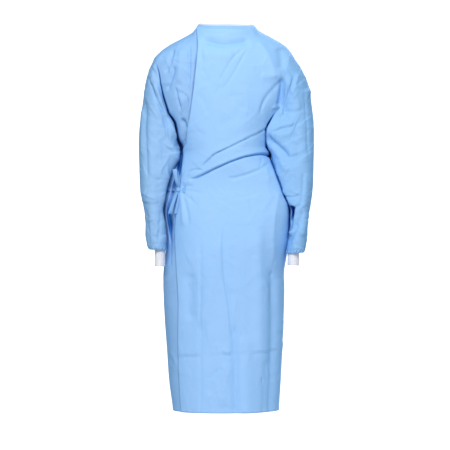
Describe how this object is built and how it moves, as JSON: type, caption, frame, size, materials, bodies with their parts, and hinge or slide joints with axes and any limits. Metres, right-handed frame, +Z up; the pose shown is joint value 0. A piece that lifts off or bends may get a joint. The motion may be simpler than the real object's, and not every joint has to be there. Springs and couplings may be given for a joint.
{
  "type": "surgical gown",
  "caption": "Long-sleeved wrap-around surgical gown in light blue non-woven cloth, as worn, open at neck and hem, with white knitted cuffs, white neck binding and a waist tape tied in a bow at the side",
  "frame": {"origin": "the middle of the neckline at the height of its upper edge, where the wearer's shoulders and neck hold the gown", "axes": "+Z up, +Y out of the wearer's front, +X to the wearer's right; the back, which laps over to the wearer's left, faces -Y"},
  "size_m": [0.5668, 0.3101, 1.2527],
  "materials": {
    "cloth": "light blue bonded non-woven cloth, matt with a soft sheen",
    "tape": "flat tape cut from the same non-woven cloth",
    "knit": "white rib-knitted polyester",
    "binding": "white folded strip, soft"
  },
  "bodies": {
    "root": {"front": "cloth", "back_left": "cloth", "back_right": "cloth", "sleeve_left": "cloth", "sleeve_right": "cloth", "cuff_left": "knit", "cuff_right": "knit", "neck_binding": "binding", "tie_front": "tape", "tie_back": "tape", "knot": "tape", "bow_loop_upper": "tape", "bow_loop_lower": "tape", "tie_tail_a": "tape", "tie_tail_b": "tape"}
  },
  "joints": []
}
